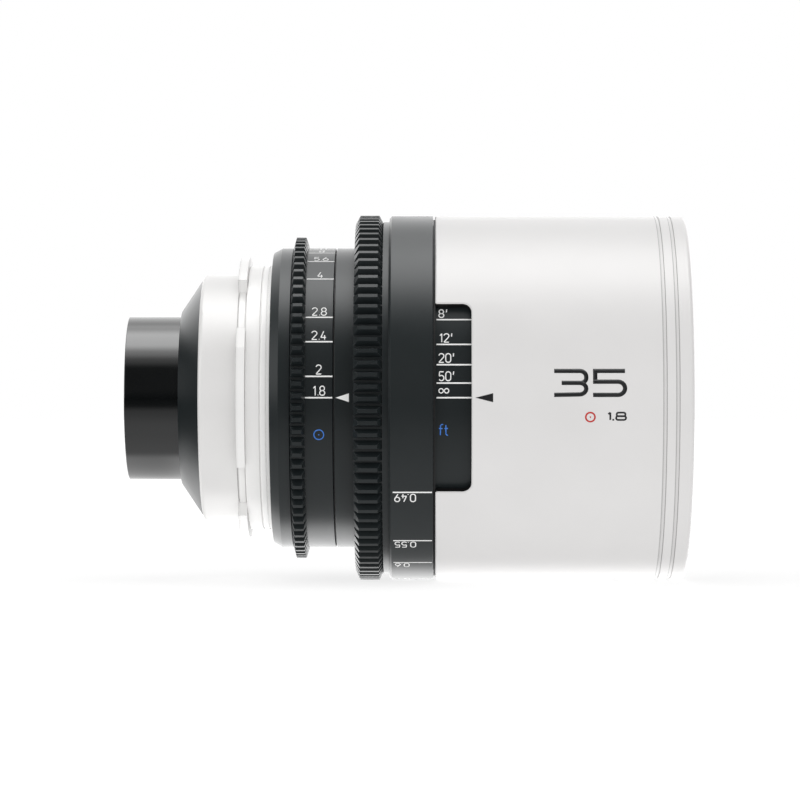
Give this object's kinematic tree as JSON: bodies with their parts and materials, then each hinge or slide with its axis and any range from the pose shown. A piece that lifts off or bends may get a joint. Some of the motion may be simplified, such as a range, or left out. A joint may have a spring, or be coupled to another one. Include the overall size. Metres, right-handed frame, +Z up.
{
  "type": "cinema prime lens",
  "caption": "Cinema prime lens with a bayonet flange mount, geared iris and focus rings, scale window and pale front barrel.",
  "frame": {"origin": "centre of the bayonet mount's reference plane, the rear faces of its wings, on the optical axis", "axes": "+X along the optical axis out of the front of the lens, +Z up, the side with the scales faces -Y"},
  "size_m": [0.1218, 0.0802, 0.0802],
  "materials": {
    "black_anodised": "satin black anodised",
    "matt_black": "matt black anodised",
    "silver_anodised": "pale pearl anodised",
    "mount_steel": "fine turned, satin",
    "roller_brass": "plain",
    "screw_steel": "black oxide",
    "blade_steel": "matt black coated",
    "washer_polymer": "matt",
    "coated_glass": "polished with a thin coating"
  },
  "bodies": {
    "root": {"rear_cell": "black_anodised", "rear_retaining_ring": "matt_black", "field_element": "coated_glass", "rear_biconvex_element": "coated_glass", "rear_spacer": "matt_black", "rear_meniscus_element": "coated_glass", "inner_retaining_ring": "matt_black", "rear_cone_cap": "black_anodised", "pl_mount": "mount_steel", "mount_shim": "mount_steel", "mount_spacer_ring": "mount_steel", "mount_screws": "screw_steel", "rear_body": "black_anodised", "iris_base_plate": "matt_black", "iris_stop_ring": "matt_black", "iris_thrust_washer": "washer_polymer", "index_ring": "black_anodised", "index_ring_screws": "screw_steel", "guide_barrel": "matt_black", "body_screws": "screw_steel", "relay_cell": "matt_black", "relay_element": "coated_glass", "relay_retaining_ring": "matt_black", "focus_thrust_washer": "washer_polymer", "front_barrel": "silver_anodised", "front_barrel_screws": "screw_steel", "front_ring": "silver_anodised", "front_cell": "matt_black", "front_cell_screws": "screw_steel", "third_element": "coated_glass", "third_retaining_ring": "matt_black", "second_element": "coated_glass", "front_spacer": "matt_black", "front_element": "coated_glass", "front_bezel": "matt_black"},
    "iris_ring": {"iris_ring": "black_anodised", "iris_drive_screws": "screw_steel", "iris_cam_ring": "matt_black"},
    "iris_blade_01": {"iris_blade_01": "blade_steel"},
    "iris_blade_02": {"iris_blade_02": "blade_steel"},
    "iris_blade_03": {"iris_blade_03": "blade_steel"},
    "iris_blade_04": {"iris_blade_04": "blade_steel"},
    "iris_blade_05": {"iris_blade_05": "blade_steel"},
    "iris_blade_06": {"iris_blade_06": "blade_steel"},
    "iris_blade_07": {"iris_blade_07": "blade_steel"},
    "iris_blade_08": {"iris_blade_08": "blade_steel"},
    "iris_blade_09": {"iris_blade_09": "blade_steel"},
    "iris_blade_10": {"iris_blade_10": "blade_steel"},
    "focus_ring": {"focus_ring": "black_anodised", "focus_scale_sleeve": "black_anodised", "focus_cam_sleeve": "matt_black", "focus_sleeve_screws": "screw_steel"},
    "focus_cell": {"focus_cell": "matt_black", "focus_rear_element": "coated_glass", "focus_spacer": "matt_black", "focus_front_element": "coated_glass", "focus_retaining_ring": "matt_black", "cam_rollers": "roller_brass", "roller_screws": "screw_steel"}
  },
  "joints": [
    {"name": "iris_ring_turn", "type": "hinge", "parent": "root", "child": "iris_ring", "pos_m": [0.0162, 0, 0], "axis": [1, 0, 0], "range_deg": [0, 90]},
    {"name": "iris_blade_01_pivot", "type": "hinge", "parent": "root", "child": "iris_blade_01", "pos_m": [0.0146, 0.021, 0], "axis": [1, 0, 0], "range_deg": [0, 31.8]},
    {"name": "iris_blade_02_pivot", "type": "hinge", "parent": "root", "child": "iris_blade_02", "pos_m": [0.0146, 0.01699, 0.01234], "axis": [1, 0, 0], "range_deg": [0, 31.8]},
    {"name": "iris_blade_03_pivot", "type": "hinge", "parent": "root", "child": "iris_blade_03", "pos_m": [0.0146, 0.00649, 0.01997], "axis": [1, 0, 0], "range_deg": [0, 31.8]},
    {"name": "iris_blade_04_pivot", "type": "hinge", "parent": "root", "child": "iris_blade_04", "pos_m": [0.0146, -0.00649, 0.01997], "axis": [1, 0, 0], "range_deg": [0, 31.8]},
    {"name": "iris_blade_05_pivot", "type": "hinge", "parent": "root", "child": "iris_blade_05", "pos_m": [0.0146, -0.01699, 0.01234], "axis": [1, 0, 0], "range_deg": [0, 31.8]},
    {"name": "iris_blade_06_pivot", "type": "hinge", "parent": "root", "child": "iris_blade_06", "pos_m": [0.0146, -0.021, 0], "axis": [1, 0, 0], "range_deg": [0, 31.8]},
    {"name": "iris_blade_07_pivot", "type": "hinge", "parent": "root", "child": "iris_blade_07", "pos_m": [0.0146, -0.01699, -0.01234], "axis": [1, 0, 0], "range_deg": [0, 31.8]},
    {"name": "iris_blade_08_pivot", "type": "hinge", "parent": "root", "child": "iris_blade_08", "pos_m": [0.0146, -0.00649, -0.01997], "axis": [1, 0, 0], "range_deg": [0, 31.8]},
    {"name": "iris_blade_09_pivot", "type": "hinge", "parent": "root", "child": "iris_blade_09", "pos_m": [0.0146, 0.00649, -0.01997], "axis": [1, 0, 0], "range_deg": [0, 31.8]},
    {"name": "iris_blade_10_pivot", "type": "hinge", "parent": "root", "child": "iris_blade_10", "pos_m": [0.0146, 0.01699, -0.01234], "axis": [1, 0, 0], "range_deg": [0, 31.8]},
    {"name": "focus_ring_turn", "type": "hinge", "parent": "root", "child": "focus_ring", "pos_m": [0.0337, 0, 0], "axis": [1, 0, 0], "range_deg": [0, 150]},
    {"name": "focus_cell_slide", "type": "slide", "parent": "root", "child": "focus_cell", "axis": [1, 0, 0], "range_m": [0, 0.003]}
  ],
  "couplings": [
    {"joint": "iris_blade_01_pivot", "follows": "iris_ring_turn", "ratio": 0.35333},
    {"joint": "iris_blade_02_pivot", "follows": "iris_ring_turn", "ratio": 0.35333},
    {"joint": "iris_blade_03_pivot", "follows": "iris_ring_turn", "ratio": 0.35333},
    {"joint": "iris_blade_04_pivot", "follows": "iris_ring_turn", "ratio": 0.35333},
    {"joint": "iris_blade_05_pivot", "follows": "iris_ring_turn", "ratio": 0.35333},
    {"joint": "iris_blade_06_pivot", "follows": "iris_ring_turn", "ratio": 0.35333},
    {"joint": "iris_blade_07_pivot", "follows": "iris_ring_turn", "ratio": 0.35333},
    {"joint": "iris_blade_08_pivot", "follows": "iris_ring_turn", "ratio": 0.35333},
    {"joint": "iris_blade_09_pivot", "follows": "iris_ring_turn", "ratio": 0.35333},
    {"joint": "iris_blade_10_pivot", "follows": "iris_ring_turn", "ratio": 0.35333},
    {"joint": "focus_cell_slide", "follows": "focus_ring_turn", "m_per_rad": 0.0011459}
  ]
}
